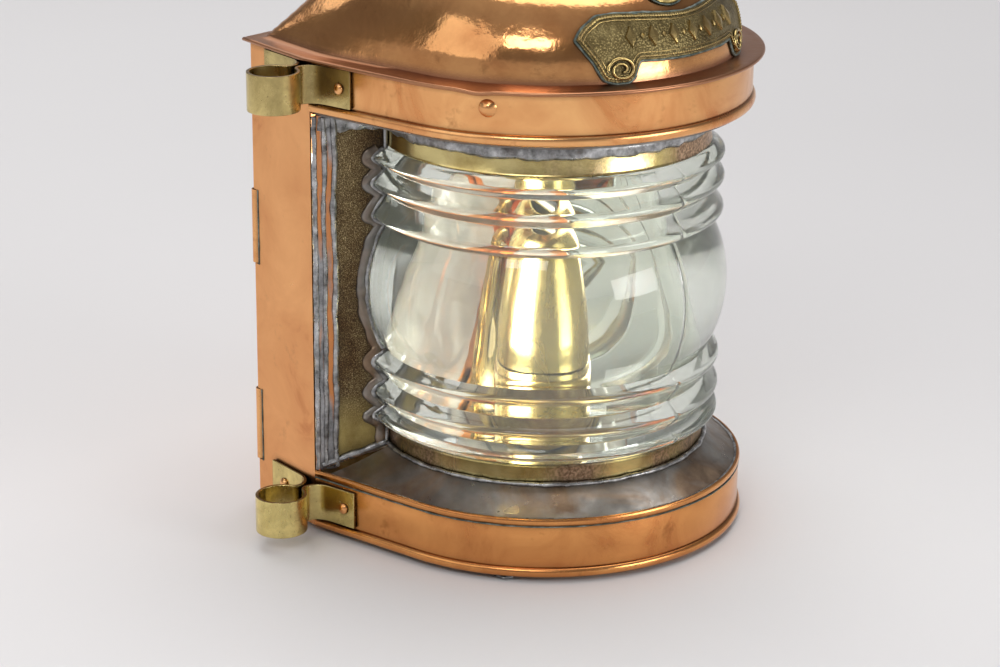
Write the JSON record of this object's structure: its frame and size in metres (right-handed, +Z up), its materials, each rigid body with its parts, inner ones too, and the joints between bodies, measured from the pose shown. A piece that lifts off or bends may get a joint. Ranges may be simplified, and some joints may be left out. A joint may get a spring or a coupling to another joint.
{
  "type": "ship lantern",
  "caption": "Ship's masthead lantern in copper and brass: round front with ribbed glass lens, rod sleeves at the corners, hinged rear door, bail handle and oil burner.",
  "frame": {"origin": "centre of the bounding box on the plane the feet stand on", "axes": "+Z up; the lens faces -Y and the hinged door faces +Y"},
  "size_m": [0.2848, 0.2336, 0.3518],
  "materials": {
    "copper": "polished copper with brown toning",
    "brass": "dull polished brass",
    "tin": "tinned sheet with solder, stained",
    "glass": "clear pressed glass with a faint green cast",
    "steel": "drawn wire",
    "cotton": "flat woven wick",
    "leather": "oiled washer"
  },
  "bodies": {
    "lantern_body": {"base_plate": "copper", "base_band": "copper", "front_left_foot": "tin", "front_right_foot": "tin", "rear_left_foot": "tin", "rear_right_foot": "tin", "shelf": "tin", "lens": "glass", "lower_collar": "brass", "upper_collar": "brass", "left_screen": "tin", "right_screen": "tin", "left_side_panel": "copper", "right_side_panel": "copper", "rear_sill": "copper", "rear_upper_panel": "copper", "top_band": "copper", "ceiling_plate": "tin", "hood": "copper", "scroll_plate": "brass", "hood_badge": "brass", "chimney": "copper", "chimney_cap": "copper", "smoke_tube": "tin", "left_bail_ear": "brass", "right_bail_ear": "brass", "lower_left_sleeve": "brass", "lower_right_sleeve": "brass", "upper_left_sleeve": "brass", "upper_right_sleeve": "brass", "lower_left_front_rivet": "copper", "lower_left_rear_rivet": "copper", "lower_right_front_rivet": "copper", "lower_right_rear_rivet": "copper", "upper_left_front_rivet": "copper", "upper_left_rear_rivet": "copper", "upper_right_front_rivet": "copper", "upper_right_rear_rivet": "copper", "lower_hinge_pin": "steel", "upper_hinge_pin": "steel", "left_font_rail": "tin", "right_font_rail": "tin"},
    "door": {"door_panel": "copper"},
    "latch": {"latch_knob": "brass", "latch_spindle": "brass", "latch_tongue": "brass"},
    "bail": {"bail_handle": "brass"},
    "font": {"font_slide_plate": "brass", "oil_font": "brass", "burner_collar": "brass", "burner_drum": "brass", "burner_dome": "brass", "wick_tube": "brass"},
    "cap_seal": {"filler_seal": "leather"},
    "cap": {"filler_cap": "brass"},
    "wick_winder": {"wick_spindle": "steel", "wick_knob": "brass"},
    "wick": {"wick": "cotton"}
  },
  "joints": [
    {"name": "door_hinge", "type": "hinge", "parent": "lantern_body", "child": "door", "pos_m": [-0.09325, 0.1012, 0.096], "axis": [0, 0, 1], "range_deg": [0, 110]},
    {"name": "latch_turn", "type": "hinge", "parent": "door", "child": "latch", "pos_m": [0.076, 0.1042, 0.0955], "axis": [0, -1, 0], "range_deg": [0, 90]},
    {"name": "bail_swing", "type": "hinge", "parent": "lantern_body", "child": "bail", "pos_m": [0, -0.0095, 0.3135], "axis": [1, 0, 0], "range_deg": [0, 206]},
    {"name": "font_slide", "type": "slide", "parent": "lantern_body", "child": "font", "axis": [0, 1, 0], "range_m": [0, 0.06]},
    {"name": "filler_cap_lift", "type": "slide", "parent": "font", "child": "cap_seal", "axis": [0, 0, 1], "range_m": [0, 0.002]},
    {"name": "filler_cap_turn", "type": "hinge", "parent": "cap_seal", "child": "cap", "pos_m": [-0.032, -0.0095, 0.0585], "axis": [0, 0, 1], "range_deg": [0, 720]},
    {"name": "wick_turn", "type": "hinge", "parent": "font", "child": "wick_winder", "pos_m": [0.0044, 0.0325, 0.0865], "axis": [0, 1, 0], "range_deg": [-60, 150]},
    {"name": "wick_lift", "type": "slide", "parent": "font", "child": "wick", "axis": [0, 0, 1], "range_m": [-0.00315, 0.0079]}
  ],
  "couplings": [
    {"joint": "filler_cap_lift", "follows": "filler_cap_turn", "m_per_rad": 0.00015915},
    {"joint": "wick_lift", "follows": "wick_turn", "m_per_rad": 0.003}
  ]
}
